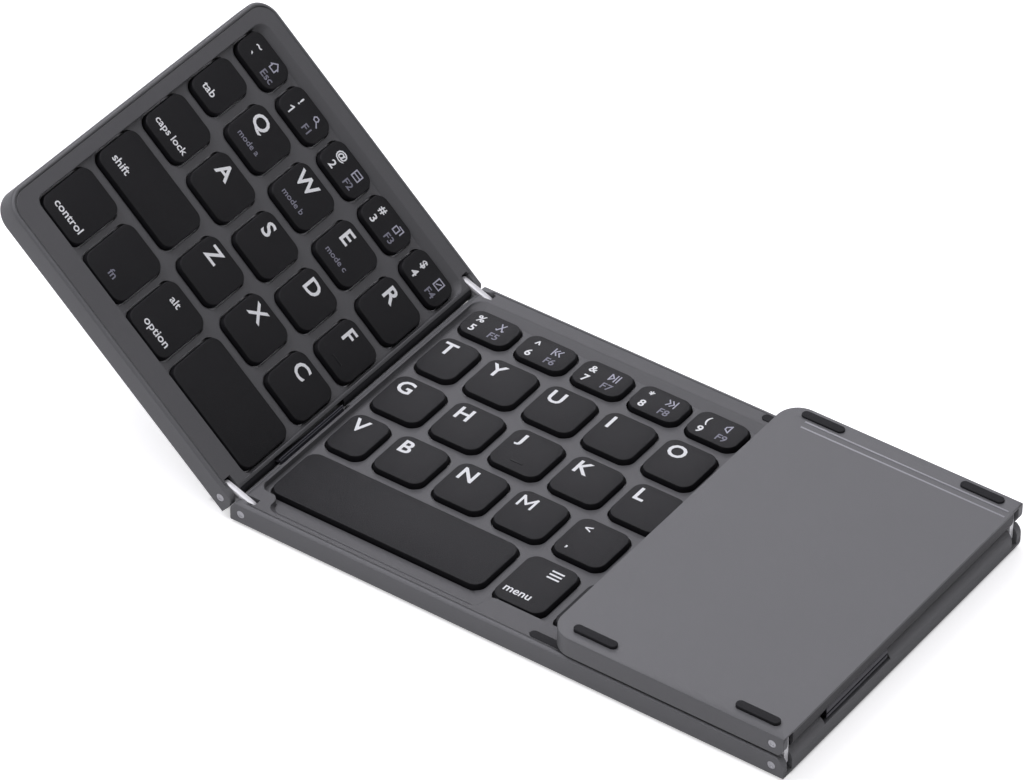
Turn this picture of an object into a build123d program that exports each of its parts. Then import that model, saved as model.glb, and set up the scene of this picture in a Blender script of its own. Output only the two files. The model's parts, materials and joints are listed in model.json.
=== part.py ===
"""Folding keyboard of three hinged panels, in millimetres.

The middle panel lies flat, the left panel stands part way up and the right panel is folded
over, face down on the middle one. Each panel is first made flat, with its underside on z = 0,
its front on y = 0 and its hinge end on x = 0, and is then put where it belongs. The finished
keyboard stands with its feet on z = 0 and its box centred on the Z axis.
"""
import os
from math import sqrt

from build123d import *

# ---- overall sizes -------------------------------------------------------------------------
DEPTH = 98.0            # front to back, all panels
THICK = 5.9             # one casing, without feet
MIDDLE_LEN = 150.3
LEFT_LEN = 86.9
RIGHT_LEN = 62.6
CORNER_R = 6.0          # outer corners of the side panels, seen from above
GAP = 0.3               # between neighbouring casings, flat or folded
LEFT_FOLD = 42.4        # left panel above flat, degrees
RIGHT_FOLD = 180.0      # right panel above flat, degrees

# ---- casing --------------------------------------------------------------------------------
WALL = 1.2
FLOOR = 1.0
FIT = 0.05              # between pieces that drop into one another
TOP_CHAMFER = 0.5       # outer top edge of the case wall
BOTTOM_ROUND = 0.8      # outer bottom edge
NEAR = 0.01             # closer than this counts as touching
SHORT_EDGE = 0.6        # an edge shorter than this is left sharp
UNDER_RECESS = 0.3      # side panels: the underside is this much thinner than its back strip
UNDER_STRIP = 4.7       # width of the back strip
UNDER_SLOPE = 2.0       # width of the slope between them

# ---- hinge ---------------------------------------------------------------------------------
HINGE_R = THICK / 2     # a panel's end is rounded about its pin by this much
END_EASE = 0.001        # the rounding stops this far short, so that a flat stays below it
PITCH = 2 * HINGE_R + GAP
PIN_R = 1.05
PIN_RUN = 0.04          # radial clearance of the links on their pins
PIN_SEAT = 1.6          # how far a pin goes on past the slot
PIN_END = 0.6           # boss left beyond a pin's inner end
LINK_T = 1.5
LINK_R = 2.0
LINK_SIDE = 0.3         # between a link and either side of its slot
LINK_END = 0.15         # between a link's round end and its slot
SLOT_WALL = 1.8         # left between a slot and the outer face
SLOT_W = LINK_T + 2 * LINK_SIDE
SLOT_BACK = SLOT_WALL + SLOT_W
END_WALL = 2.2          # thickness of the wall or cap that closes a hinge end
END_LIP = 0.9           # the frame's lip that covers its top
LIP_BACK = 1.95         # the lip starts this far from the panel's end
BOSS_LEN = HINGE_R + LINK_R + LINK_END + PIN_END

# ---- ribbon cables -------------------------------------------------------------------------
NOTCH_FRONT = 17.0
NOTCH_W = 26.5
NOTCH_SILL = 3.9
RIBBON_T = 0.15
RIBBON_W = 22.0
RIBBON_MOUTH = 0.9      # the cable starts this far inside the end wall's face

# ---- top frame -----------------------------------------------------------------------------
DECK_DROP = 1.5         # deck below the rim
DECK_T = 1.0
SKIRT = 1.0             # wall of the frame inside the case wall
RIM_BACK = 5.0
RIM_SLOPE = 2.4
RIM_FRONT = 7.6
RIM_FAR = 4.8
RIM_HINGE = 2.85
DECK_R = 3.0
SCOOP_START = 8.6       # thumb scoop in front of the long space key
SCOOP_END = 67.0
SCOOP_RIM = 2.4
SCOOP_R = 2.4

# ---- keys ----------------------------------------------------------------------------------
KEYS_FRONT = 8.3        # front edge of the nearest row
KEYS_BACK = 7.8         # from the back of the panel to the farthest row
KEYS_HINGE_LEFT = 3.75  # side margins of the key field
KEYS_FAR_LEFT = 5.5
KEYS_SIDE_MIDDLE = 4.7
ROW_GAP = 3.5
ROW_SHARES = (17.0, 13.9, 13.9, 13.9, 9.2)      # front to back, shares of the depth
KEY_DROP = 0.2          # key tops below the rim
KEY_H = 1.65
KEY_CORNER = 1.6        # cut across each corner of a key
KEY_BEVEL = 0.22        # bevel round a key's top
KEY_ROOF = 0.7
KEY_SKIRT = 1.3
KEY_SLACK = 0.35        # between a key and its well
KEY_TRAVEL = 1.2
SPLIT_GAP = 0.9         # between the two half-height arrow keys
HOME_BAR = (3.4, 0.5, 0.18)
HOME_BAR_Y = 2.6        # from the key's front edge
HOME_BAR_ROOT = 0.1     # how far the bar runs into the key

# ---- inside --------------------------------------------------------------------------------
PLATE_T = 0.3
PLATE_Z = 2.4
PLATE_EDGE = 3.4        # plate to the panel's ends and sides
PLATE_SLACK = 0.4       # plate to the pin bosses
LIFT = (6.4, 5.0)       # folded lift under each key
LIFT_SLACK = 0.2        # left over it when the key is pressed
POST = 2.6              # square posts under the plate
POST_IN_Y = 5.4         # posts, from the front and back of the panel
POST_IN_X = 11.0
SINK = 0.1              # joined solids run this far into one another
BATTERY_FRONT = 46.0
BATTERY_LEFT = 12.0     # from the middle panel's left end
BATTERY_DEEP = 43.0
BATTERY_H = 1.3
BATTERY_GAP = 14.3      # to the board
BATTERY_CORNER = 1.5
BOARD = (52.0, 52.0, 0.8)
BOARD_RIGHT = 12.0      # from the middle panel's right end
BOARD_BACK = 12.0
PORT = (7.6, 5.0, 2.6)
PORT_WALL = 0.3
PORT_TONGUE = (4.6, 3.4, 0.6)
PORT_RIGHT = 34.0
PORT_Z = 1.7
PORT_SLACK = 0.2        # frame, plate and board to the port
LENS = (1.4, 0.8)
LENS_COUNT = 3
LENS_SINK = 0.05        # below the rim
LENS_PITCH = 6.0
LENS_RIGHT = 12.0
LENS_BACK = 2.3
MAGNET = (8.0, 2.6, 1.2)
MAGNET_Y = 4.6
MAGNET_FROM_SPLIT = 10.0

# ---- touchpad ------------------------------------------------------------------------------
PAD_DROP = 0.35
PAD_T = 0.9
PAD_R = 3.0
PAD_SLACK = 0.15
PAD_LEDGE = 1.2
PAD_SIDE = 5.2          # rim beside the pad
PAD_FRONT = 6.4
PAD_BOARD_T = 0.8
PAD_BOARD_SLACK = 0.4   # board to the ledge

# ---- rubber --------------------------------------------------------------------------------
FOOT = (11.4, 2.3)
FOOT_CORNER = 0.8
FOOT_PROUD = 0.5
FOOT_SINK = 0.15
FOOT_IN_Y = 3.8         # front feet, centre from the front face
FOOT_BACK_Y = 2.8       # back feet, centre from the back face
FOOT_HINGE_X = 9.1
FOOT_FAR_X = 10.6
BUMPER_PROUD = 0.15
BUMPER_SINK = 0.4
BUMPER_FRONT_Y = 2.6
BUMPER_BACK_Y = 2.4

# Keys of each row, front row first. A row lists its nodes from the left end of its panel to the
# right as (node, key widths); the widths are shares of the row's length. A pair of node names
# is one column split into a front and a back key.
LEFT_ROWS = (
    (2.6, (("left_control_key", (13.7,)), ("fn_key", (13.7,)), ("left_alt_key", (13.7,)),
           ("left_space_key", (28.9,)))),
    (3.1, (("left_shift_key", (27.5,)), ("left_letter_keys_lower", (13.6, 13.6, 13.8)))),
    (3.1, (("caps_key", (13.9,)), ("left_letter_keys_home", (14.2, 13.5, 11.9, 12.1)))),
    (3.3, (("tab_key", (10.3,)), ("left_letter_keys_upper", (13.7, 13.5, 13.3, 13.4)))),
    (2.4, (("esc_key", (13.7,)), ("left_number_keys", (13.6, 13.6, 13.6, 13.6)))),
)
MIDDLE_ROWS = (
    (3.1, (("space_key", (58.7,)), ("menu_key", (13.6,)), ("right_alt_key", (13.6,)),
           ("arrow_left_key", (13.2,)), (("arrow_down_key", "arrow_up_key"), (13.2,)),
           ("arrow_right_key", (13.2,)))),
    (3.1, (("letter_keys_lower", (10.2,) + (13.6,) * 6), ("right_shift_key", (27.0,)))),
    (3.1, (("letter_keys_home", (13.6,) * 7), ("enter_key", (23.8,)))),
    (3.1, (("letter_keys_upper", (10.8,) + (13.6,) * 7 + (10.2,)),)),
    (2.5, (("number_keys", (13.6,) * 8), ("backspace_key", (12.4,)))),
)
HOME_KEYS = {"left_letter_keys_home": 3, "letter_keys_home": 2}     # F and J in their rows


# ---- small helpers -------------------------------------------------------------------------
def block(x0, x1, y0, y1, z0, z1):
    """Box between two corners."""
    return Pos(x0, y0, z0) * Box(x1 - x0, y1 - y0, z1 - z0, align=(Align.MIN,) * 3)


def slab(outline, z0, z1):
    """Flat outline pushed up from z0 to z1."""
    return extrude(Pos(0, 0, z0) * outline, z1 - z0)


def rounded(x0, x1, y0, y1, radius):
    """Rounded rectangle between two corners."""
    return Pos((x0 + x1) / 2, (y0 + y1) / 2) * RectangleRounded(x1 - x0, y1 - y0, radius)


def cornered(x0, x1, y0, y1, cut):
    """Rectangle between two corners, each corner cut off straight."""
    plan = Pos((x0 + x1) / 2, (y0 + y1) / 2) * Rectangle(x1 - x0, y1 - y0)
    return chamfer(plan.vertices(), cut)


def rod(radius, x, z, y0, y1):
    """Round bar along Y."""
    return extrude(Plane((x, y0, z), x_dir=(1, 0, 0), z_dir=(0, 1, 0)) * Circle(radius), y1 - y0)


def both_sides(shape):
    """The shape and its mirror image about the panel's middle line, front and back."""
    return [shape, mirror(shape, about=Plane((0, DEPTH / 2, 0), z_dir=(0, 1, 0)))]


def both_ends(shapes, length):
    """The shapes and their mirror images about the middle of a length."""
    about = Plane((length / 2, 0, 0), z_dir=(1, 0, 0))
    return shapes + [mirror(shape, about=about) for shape in shapes]


def merged(parts):
    """All parts as one shape."""
    whole = parts[0]
    for part in parts[1:]:
        whole = whole + part
    return whole


# ---- casing --------------------------------------------------------------------------------
def outline(length, inset, far_round):
    """Plan of a casing, drawn in by the inset on its outer sides."""
    plan = Pos(length / 2, DEPTH / 2) * Rectangle(length, DEPTH - 2 * inset)
    if not far_round:
        return plan
    plan = plan & (Pos((length - inset) / 2, DEPTH / 2) * Rectangle(length - inset, DEPTH))
    far = plan.vertices().group_by(Axis.X)[-1]
    return fillet(far, CORNER_R - inset)


def shell_blank(length, middle):
    """Solid casing with its outer edges eased and its hinge ends rounded about the pins."""
    body = slab(outline(length, 0, not middle), 0, THICK)
    low = body.edges().group_by(Axis.Z)[0]
    body = fillet([e for e in low if on_side(e, length, middle)], BOTTOM_ROUND)
    high = body.edges().group_by(Axis.Z)[-1]
    body = chamfer([e for e in high if on_side(e, length, middle)], TOP_CHAMFER)
    body &= end_profile(length, middle)
    return body if middle else body - under_recess(length)


def on_side(edge, length, middle):
    """True for an edge along the casing's outer sides, not along a hinge end."""
    mid, box = edge.center(), edge.bounding_box()
    if min(abs(mid.Y), abs(mid.Y - DEPTH)) < NEAR:
        return box.size.X > SHORT_EDGE
    return not middle and mid.X > length - CORNER_R


def end_profile(length, middle):
    """Side view of a casing over its full depth, each hinge end rounded about its pin."""
    profile = Pos(length / 2, THICK / 2) * Rectangle(length, THICK)
    top = profile.vertices().group_by(Axis.Y)[-1].sort_by(Axis.X)
    profile = fillet(top if middle else top[:1], HINGE_R - END_EASE)
    side = Plane((0, DEPTH, 0), x_dir=(1, 0, 0), z_dir=(0, -1, 0))
    return extrude(side * profile, DEPTH)


def under_recess(length):
    """Shallow step that leaves a thicker strip along the back of the underside."""
    edge = DEPTH - UNDER_STRIP
    with BuildSketch(Plane.YZ.offset(-1)) as profile:
        with BuildLine():
            Polyline((-1, -1), (-1, UNDER_RECESS), (edge - UNDER_SLOPE, UNDER_RECESS),
                     (edge, 0), (edge, -1), close=True)
        make_face()
    return extrude(profile.sketch, length + 2)


def link_slots(length, middle):
    """Pockets at the corners of a hinge end, open to the top and the end."""
    deep = HINGE_R + LINK_R + LINK_END
    low = THICK - HINGE_R - LINK_R - LINK_END
    front = block(-1, deep, SLOT_WALL, SLOT_BACK, low, THICK + 1)
    slots = both_sides(front)
    return both_ends(slots, length) if middle else slots


def slot_walls(length, middle):
    """Thicker stretches of the front and back walls, beside the slots."""
    walls = both_sides(block(-1, HINGE_R + LINK_R, 0, SLOT_WALL, 0, THICK + 2))
    return both_ends(walls, length) if middle else walls


def pin_axes(length, middle):
    """X of each hinge pin in a panel."""
    return [HINGE_R, length - HINGE_R] if middle else [HINGE_R]


def pin_holes(length, middle):
    """Bores for the pins, in from the front and back faces."""
    return [hole for x in pin_axes(length, middle)
            for hole in both_sides(rod(PIN_R, x, THICK - HINGE_R, 0, SLOT_BACK + PIN_SEAT))]


def notch(length=None):
    """Opening for the ribbon cable in a hinge end, over its whole wall."""
    cut = block(-1, END_WALL + FIT, NOTCH_FRONT, NOTCH_FRONT + NOTCH_W, NOTCH_SILL, THICK + 1)
    if length is None:
        return cut
    return mirror(cut, about=Plane((length / 2, 0, 0), z_dir=(1, 0, 0)))


def pin_bosses(x0):
    """Bosses behind a hinge end that hold the inner ends of the pins."""
    start = SLOT_BACK
    return both_sides(block(x0, BOSS_LEN, start, start + PIN_SEAT + PIN_END,
                            FLOOR - SINK, THICK - END_LIP - FIT))


def end_wall():
    """Rounded wall across a side panel's hinge end, with bosses for the pins."""
    start = SLOT_BACK
    bar = block(0, END_WALL, start, DEPTH - start, FLOOR, THICK) & end_profile(BOSS_LEN, False)
    lip = block(LIP_BACK - FIT, BOSS_LEN, 0, DEPTH, THICK - END_LIP - FIT, THICK + 1)
    low = block(-1, BOSS_LEN + 1, 0, DEPTH, -1, FLOOR)
    return merged([bar - lip] + pin_bosses(END_WALL - SINK)) - low


def foot_places(length, middle):
    """Centre and seat height of each foot on a panel's underside."""
    seats = ((FOOT_IN_Y, 0 if middle else UNDER_RECESS), (DEPTH - FOOT_BACK_Y, 0))
    xs = (FOOT_HINGE_X, length - (FOOT_HINGE_X if middle else FOOT_FAR_X))
    return [(x, y, z) for x in xs for y, z in seats]


def pad_plan(x, y):
    """Plan of a foot or bumper about its centre."""
    long, wide = FOOT
    return cornered(x - long / 2, x + long / 2, y - wide / 2, y + wide / 2, FOOT_CORNER)


def feet(length, middle):
    """Rubber pads that all end on one plane below the casing."""
    return [slab(pad_plan(x, y), -FOOT_PROUD, z + FOOT_SINK)
            for x, y, z in foot_places(length, middle)]


def posts(length, top):
    """Square posts that carry the switch plate, along the front and back."""
    xs = [POST_IN_X, length - POST_IN_X]
    if length > DEPTH:
        xs.insert(1, length / 2)
    return [slab(Pos(x, y) * Rectangle(POST, POST), FLOOR - SINK, top)
            for x in xs for y in (POST_IN_Y, DEPTH - POST_IN_Y)]


def bottom_case(length, middle, plate):
    """Tray with the side walls, the floor and the hinge corners."""
    body = shell_blank(length, middle)
    start = END_WALL if middle else 0
    stop = length - (END_WALL if middle else WALL)
    room = slab(outline(length, WALL, not middle) & full_depth(start, stop), FLOOR, THICK + 1)
    for wall in slot_walls(length, middle):
        room -= wall
    body -= room
    if middle:
        body = merged([body] + middle_bosses(length))
    for cut in link_slots(length, middle) + pin_holes(length, middle) + feet(length, middle):
        body -= cut
    if middle:
        body = body - notch() - notch(length) - port_hole() - lip_room(length)
    if plate:
        body = merged([body] + posts(length, PLATE_Z))
    return body


def full_depth(x0, x1):
    """Full-depth rectangle used to end the tray's hollow short of a hinge end."""
    return Pos((x0 + x1) / 2, DEPTH / 2) * Rectangle(x1 - x0, DEPTH)


def middle_bosses(length):
    """Pin bosses behind both end walls of the middle panel."""
    return both_ends(pin_bosses(END_WALL - SINK), length)


def lip_room(length):
    """Room for the frame's lips over the middle panel's end walls."""
    cut = block(LIP_BACK - FIT, END_WALL + 1, SLOT_BACK, DEPTH - SLOT_BACK,
                THICK - END_LIP - FIT, THICK + 1)
    return merged(both_ends([cut], length))


def end_cap():
    """Black cap that closes the hinge end of a side panel."""
    cap = end_wall() - notch()
    for hole in pin_holes(0, False):
        cap -= hole
    return cap


# ---- keys ----------------------------------------------------------------------------------
def row_spans():
    """Front and back edge of each key row."""
    total = DEPTH - KEYS_FRONT - KEYS_BACK - ROW_GAP * (len(ROW_SHARES) - 1)
    spans, y = [], KEYS_FRONT
    for share in ROW_SHARES:
        size = total * share / sum(ROW_SHARES)
        spans.append((y, y + size))
        y += size + ROW_GAP
    return spans


def key_places(rows, x0, x1):
    """Every key as (node, index in its node, x0, x1, y0, y1)."""
    places = []
    for (gap, nodes), (y0, y1) in zip(rows, row_spans()):
        widths = [w for _, sizes in nodes for w in sizes]
        scale = (x1 - x0 - gap * (len(widths) - 1)) / sum(widths)
        x = x0
        for node, sizes in nodes:
            for index, width in enumerate(sizes):
                places += split_key(node, index, x, x + width * scale, y0, y1)
                x += width * scale + gap
    return places


def split_key(node, index, x0, x1, y0, y1):
    """One key, or two half-height ones where the node is a pair of names."""
    if isinstance(node, str):
        return [(node, index, x0, x1, y0, y1)]
    half = (y1 - y0 - SPLIT_GAP) / 2
    return [(node[0], 0, x0, x1, y0, y0 + half), (node[1], 0, x0, x1, y1 - half, y1)]


def key_plan(x0, x1, y0, y1, grow):
    """Outline of a key's top, grown all round by the same width."""
    cut = KEY_CORNER + (2 - sqrt(2)) * grow
    return cornered(x0 - grow, x1 + grow, y0 - grow, y1 + grow, cut)


def key_cap(*place):
    """Cap with a bevelled top edge and a hollow under its roof."""
    top = THICK - KEY_DROP
    cap = slab(key_plan(*place, KEY_BEVEL), top - KEY_H, top)
    cap = chamfer(cap.faces().sort_by(Axis.Z)[-1].edges(), KEY_BEVEL)
    x0, x1, y0, y1 = place
    return cap - block(x0 + KEY_SKIRT, x1 - KEY_SKIRT, y0 + KEY_SKIRT, y1 - KEY_SKIRT,
                       top - KEY_H - 1, top - KEY_ROOF)


def home_bar(x0, x1, y0):
    """Raised bar that a fingertip finds, near the front of a key."""
    long, wide, high = HOME_BAR
    mid = (x0 + x1) / 2
    top = THICK - KEY_DROP
    return block(mid - long / 2, mid + long / 2, y0 + HOME_BAR_Y, y0 + HOME_BAR_Y + wide,
                 top - HOME_BAR_ROOT, top + high)


def key_nodes(places):
    """Key caps by node name."""
    nodes = {}
    for node, index, x0, x1, y0, y1 in places:
        cap = key_cap(x0, x1, y0, y1)
        if HOME_KEYS.get(node) == index:
            cap += home_bar(x0, x1, y0)
        nodes.setdefault(node, []).append(cap)
    return nodes


def key_wells(places):
    """Openings in the deck, one around each key."""
    grow = KEY_BEVEL + KEY_SLACK
    wells = Sketch() + [key_plan(*place[2:], grow) for place in places]
    return slab(wells, 0, THICK + 1)


def key_lifts(places):
    """Folded scissor lift under each key, at its pressed height."""
    long, wide = LIFT
    low = PLATE_Z + PLATE_T
    high = THICK - KEY_DROP - KEY_ROOF - KEY_TRAVEL - LIFT_SLACK - low
    lifts = []
    for _, _, x0, x1, y0, y1 in places:
        x, y = (x0 + x1) / 2, (y0 + y1) / 2
        half = min(wide, y1 - y0 - 2 * KEY_SKIRT - 2 * KEY_SLACK) / 2
        lifts.append(block(x - long / 2, x + long / 2, y - half, y + half, low, low + high))
    return lifts


def switch_plate(length):
    """Thin plate under the keys, screwed to the case."""
    plate = block(PLATE_EDGE, length - PLATE_EDGE, PLATE_EDGE, DEPTH - PLATE_EDGE,
                  PLATE_Z, PLATE_Z + PLATE_T)
    for corner in plate_corners(length):
        plate -= corner
    return plate


def plate_corners(length):
    """Clearance round the pin bosses in the four corners."""
    deep = SLOT_BACK + PIN_SEAT + PIN_END + PLATE_SLACK
    return both_ends(both_sides(block(0, BOSS_LEN + PLATE_SLACK, 0, deep, 0, THICK)), length)


# ---- top frames ----------------------------------------------------------------------------
def frame_blank(length, middle):
    """Lid inside the case walls, with a skirt down to the floor and lips over the ends."""
    plan = outline(length, WALL + FIT, not middle)
    x0, x1 = LIP_BACK, length - (LIP_BACK if middle else 0)
    lid = slab(plan & full_depth(x0, x1), THICK - DECK_DROP - DECK_T, THICK)
    far = length - (END_WALL + FIT if middle else 0)
    ring = slab(plan & full_depth(END_WALL + FIT, far), FLOOR, THICK - DECK_DROP)
    inner = outline(length, WALL + FIT + SKIRT, not middle)
    ring -= slab(inner & full_depth(0, far + 1), FLOOR - 1, THICK)
    lid = lid + ring
    for cut in frame_corners(length, middle):
        lid -= cut
    return lid & end_profile(length, middle)


def frame_corners(length, middle):
    """Room for the link slots, the pin bosses, the end walls and the cable notches."""
    high = THICK - END_LIP
    slots = link_slots(length, middle)
    start = SLOT_BACK
    boss = both_sides(block(-1, BOSS_LEN + FIT, start - FIT, start + PIN_SEAT + PIN_END + FIT,
                            0, high))
    under_slot = both_sides(block(-1, HINGE_R + LINK_R + LINK_END, 0, start, 0, THICK + 1))
    wall = [block(-1, END_WALL + FIT, start - 1, DEPTH - start + 1, 0, high)]
    cable = [block(-1, END_WALL + RIBBON_T + 3 * FIT, NOTCH_FRONT, NOTCH_FRONT + NOTCH_W, 0, high)]
    cuts = boss + under_slot + wall + cable
    return slots + (both_ends(cuts, length) if middle else cuts)


def deck_recess(x0, x1, scoop):
    """Sunk deck with a long slope up to the back rim and, if asked, the thumb scoop."""
    low = THICK - DECK_DROP
    back = DEPTH - RIM_BACK - RIM_SLOPE
    plan = Pos((x0 + x1) / 2, (RIM_FRONT + back) / 2) * Rectangle(x1 - x0, back - RIM_FRONT)
    if scoop:
        mid = (SCOOP_START + SCOOP_END) / 2
        plan += Pos(mid, RIM_FRONT) * Rectangle(SCOOP_END - SCOOP_START,
                                                2 * (RIM_FRONT - SCOOP_RIM))
    corners = plan.vertices()
    front = [v for v in corners if v.Y < RIM_FRONT + NEAR]
    plan = fillet(front, SCOOP_R)
    plan = fillet(plan.vertices().group_by(Axis.Y)[-1], DECK_R)
    middle_y = DEPTH / 2
    floor_face = Pos(0, 0, low) * rounded(x0, x1, middle_y, back, DECK_R)
    top_face = Pos(0, 0, THICK) * rounded(x0, x1, middle_y, back + RIM_SLOPE, DECK_R)
    return slab(plan, low, THICK + 1), loft([floor_face, top_face])


def keyed_frame(length, middle, places):
    """Top frame of a key panel: rim, sunk deck and a well round each key."""
    x0, x1 = RIM_HINGE, length - (RIM_HINGE if middle else RIM_FAR)
    frame = frame_blank(length, middle)
    for cut in deck_recess(x0, x1, middle):
        frame -= cut
    return frame - key_wells(places)


def middle_frame(places):
    """Top frame of the middle panel, with room for the port, lights, bumpers and magnets."""
    frame = keyed_frame(MIDDLE_LEN, True, places)
    for cut in [port_room()] + lenses() + bumpers() + magnets(middle_magnet_xs()):
        frame -= cut
    return frame


def left_frame(places):
    """Top frame of the left panel."""
    frame = keyed_frame(LEFT_LEN, False, places)
    return frame - magnets([left_magnet_x()])[0]


def pad_span():
    """Corners of the touchpad in the right panel."""
    return PAD_SIDE, RIGHT_LEN - PAD_SIDE, PAD_FRONT, DEPTH - PAD_FRONT


def right_frame():
    """Top frame of the right panel: a plain rim with a ledge for the touchpad."""
    frame = frame_blank(RIGHT_LEN, False)
    x0, x1, y0, y1 = pad_span()
    top = THICK - PAD_DROP
    window = rounded(x0 - PAD_SLACK, x1 + PAD_SLACK, y0 - PAD_SLACK, y1 + PAD_SLACK, PAD_R)
    hole = block(x0 + PAD_LEDGE, x1 - PAD_LEDGE, y0 + PAD_LEDGE, y1 - PAD_LEDGE, 0, THICK)
    frame = frame - slab(window, top - PAD_T, THICK + 1) - hole
    return frame - magnets([right_magnet_x()])[0]


def touchpad():
    """Flat pad that the finger slides on."""
    top = THICK - PAD_DROP
    return slab(rounded(*pad_span(), PAD_R), top - PAD_T, top)


def touchpad_board():
    """Sensor board under the pad, inside the frame's ledge."""
    x0, x1, y0, y1 = pad_span()
    top = THICK - PAD_DROP - PAD_T
    edge = PAD_LEDGE + PAD_BOARD_SLACK
    return block(x0 + edge, x1 - edge, y0 + edge, y1 - edge, top - PAD_BOARD_T, top)


# ---- small pieces --------------------------------------------------------------------------
def hinge_pins(length, middle):
    """Pins pushed in from the front and back, their heads flush."""
    pins = []
    for x in pin_axes(length, middle):
        z = THICK - HINGE_R
        pins += both_sides(rod(PIN_R, x, z, 0, SLOT_BACK + PIN_SEAT))
    return pins


def hinge_links(pin_x, direction):
    """Two-hole links, one at the front and one at the back, from a middle pin outwards."""
    z = THICK - HINGE_R
    far = pin_x + direction * PITCH
    y0 = SLOT_WALL + LINK_SIDE
    plane = Plane(((pin_x + far) / 2, y0, z), x_dir=(1, 0, 0), z_dir=(0, 1, 0))
    link = extrude(plane * SlotCenterToCenter(PITCH, 2 * LINK_R), LINK_T)
    for x in (pin_x, far):
        link -= rod(PIN_R + PIN_RUN, x, z, 0, y0 + LINK_T + 1)
    return both_sides(link)


def bumpers():
    """Pads on the middle panel's rims, under the line where the side panels meet."""
    return [slab(pad_plan(split_x(), y), THICK - BUMPER_SINK, THICK + BUMPER_PROUD)
            for y in (BUMPER_FRONT_Y, DEPTH - BUMPER_BACK_Y)]


def split_x():
    """Where the folded side panels meet over the middle panel."""
    return (LEFT_LEN + MIDDLE_LEN - RIGHT_LEN) / 2


def middle_magnet_xs():
    """Magnets of the middle panel, either side of the split."""
    return [split_x() - MAGNET_FROM_SPLIT, split_x() + MAGNET_FROM_SPLIT]


def left_magnet_x():
    """Magnet of the left panel, over its partner when folded."""
    return split_x() - MAGNET_FROM_SPLIT


def right_magnet_x():
    """Magnet of the right panel, measured from its own hinge end."""
    return MIDDLE_LEN - split_x() - MAGNET_FROM_SPLIT


def magnets(xs):
    """Bar magnets in the underside of the front rim."""
    long, wide, high = MAGNET
    low = THICK - DECK_DROP - DECK_T
    return [block(x - long / 2, x + long / 2, MAGNET_Y - wide / 2, MAGNET_Y + wide / 2,
                  low, low + high) for x in xs]


def port_x():
    """Centre of the charging port."""
    return MIDDLE_LEN - PORT_RIGHT


def port_body(grow):
    """Outer block of the charging port, grown all round."""
    wide, deep, high = PORT
    return block(port_x() - wide / 2 - grow, port_x() + wide / 2 + grow,
                 DEPTH - deep - grow, DEPTH, PORT_Z - grow, PORT_Z + high + grow)


def port_hole():
    """Opening for the port through the back wall."""
    return port_body(FIT) + Pos(0, 1, 0) * port_body(FIT)


def port_room():
    """Room for the port in the frame."""
    return port_body(PORT_SLACK)


def charging_port():
    """Metal shell with a tongue, open to the back."""
    wide, deep, high = PORT
    shell = port_body(0)
    mouth = block(port_x() - wide / 2 + PORT_WALL, port_x() + wide / 2 - PORT_WALL,
                  DEPTH - deep + PORT_WALL, DEPTH + 1,
                  PORT_Z + PORT_WALL, PORT_Z + high - PORT_WALL)
    long, out, thin = PORT_TONGUE
    mid = PORT_Z + high / 2
    tongue = block(port_x() - long / 2, port_x() + long / 2,
                   DEPTH - deep, DEPTH - deep + PORT_WALL + out, mid - thin / 2, mid + thin / 2)
    return shell - mouth + tongue


def lenses():
    """Light guides through the back rim."""
    xs = [MIDDLE_LEN - LENS_RIGHT - i * LENS_PITCH for i in range(LENS_COUNT)]
    return [slab(Pos(x, DEPTH - LENS_BACK) * Rectangle(*LENS),
                 THICK - DECK_DROP - DECK_T, THICK - LENS_SINK) for x in xs]


def battery():
    """Flat pouch cell on the floor of the middle panel."""
    x1 = MIDDLE_LEN - BOARD_RIGHT - BOARD[0] - BATTERY_GAP
    y1 = BATTERY_FRONT + BATTERY_DEEP
    plan = cornered(BATTERY_LEFT, x1, BATTERY_FRONT, y1, BATTERY_CORNER)
    return slab(plan, FLOOR, FLOOR + BATTERY_H)


def circuit_board():
    """Main board beside the battery, reaching back under the port."""
    long, deep, high = BOARD
    x1 = MIDDLE_LEN - BOARD_RIGHT
    y1 = DEPTH - BOARD_BACK
    board = block(x1 - long, x1, y1 - deep, y1, FLOOR, FLOOR + high)
    wide = PORT[0]
    tab = block(port_x() - wide / 2, port_x() + wide / 2,
                y1 - SINK, DEPTH - WALL - FIT - SKIRT - PORT_SLACK,
                FLOOR, min(PORT_Z, FLOOR + high))
    return board + tab


def ribbon(inner_end):
    """Ribbon cable from an end wall's notch, down behind the wall and along the floor."""
    y0 = NOTCH_FRONT + (NOTCH_W - RIBBON_W) / 2
    y1 = y0 + RIBBON_W
    bend = END_WALL + FIT
    mouth = block(RIBBON_MOUTH, bend + RIBBON_T, y0, y1, NOTCH_SILL, NOTCH_SILL + RIBBON_T)
    drop = block(bend, bend + RIBBON_T, y0, y1, FLOOR, NOTCH_SILL + RIBBON_T)
    run = block(bend, inner_end, y0, y1, FLOOR, FLOOR + RIBBON_T)
    return mouth + drop + run


def ribbons():
    """Both cables of the middle panel, each from its notch to the nearer edge of the board."""
    left = ribbon(MIDDLE_LEN - BOARD_RIGHT - BOARD[0])
    right = mirror(ribbon(BOARD_RIGHT), about=Plane((MIDDLE_LEN / 2, 0, 0), z_dir=(1, 0, 0)))
    return left, right


# ---- placing -------------------------------------------------------------------------------
def turn(shape, x, z, degrees):
    """Turn a shape about an axis along Y."""
    return shape.rotate(Axis((x, 0, z), (0, 1, 0)), degrees)


def place_left(shape):
    """From the left panel's own flat frame to its place at rest."""
    z = THICK - HINGE_R
    flat = Pos(-GAP, 0, 0) * mirror(shape, about=Plane.YZ)
    return turn(turn(flat, HINGE_R - PITCH, z, LEFT_FOLD / 2), HINGE_R, z, LEFT_FOLD / 2)


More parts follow.
